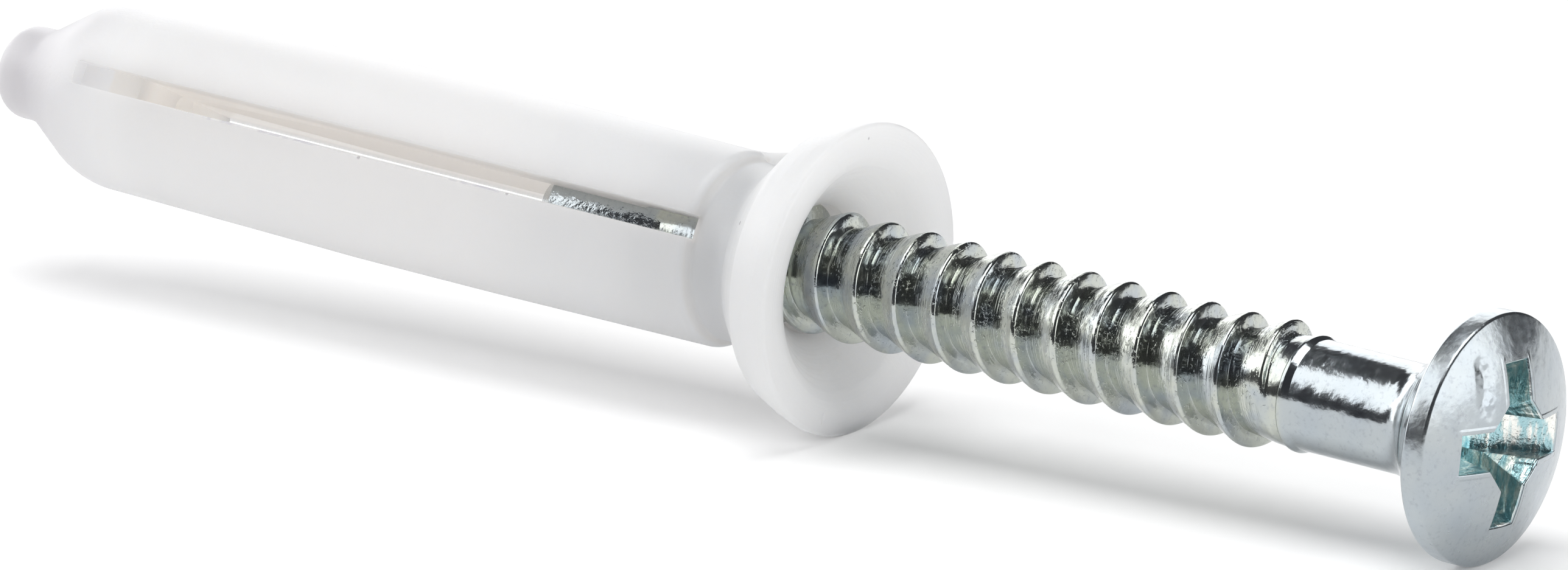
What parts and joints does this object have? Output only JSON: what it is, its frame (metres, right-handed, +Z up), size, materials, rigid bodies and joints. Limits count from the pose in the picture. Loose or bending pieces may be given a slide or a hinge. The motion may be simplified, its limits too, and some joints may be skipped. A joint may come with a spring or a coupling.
{
  "type": "nail-in wall plug with drive screw",
  "caption": "Slotted nylon wall plug with a wide countersunk collar, and a threaded drive screw with a domed cross-recess head standing part-way in it.",
  "frame": {"origin": "centre of the pair's box, on the surface it lies on", "axes": "+X from the sleeve's nose to the screw's head, +Y away from the viewer of the front, +Z up; the axis of the pair dips 2.6 degrees towards the head, because it lies on the rims of the collar and the head"},
  "size_m": [0.0546, 0.0092, 0.0093],
  "materials": {
    "nylon": "satin, slightly translucent natural nylon",
    "zinc_plate": "bright zinc plate over rolled steel"
  },
  "bodies": {
    "root": {"sleeve": "nylon", "drive_screw": "zinc_plate"}
  },
  "joints": []
}
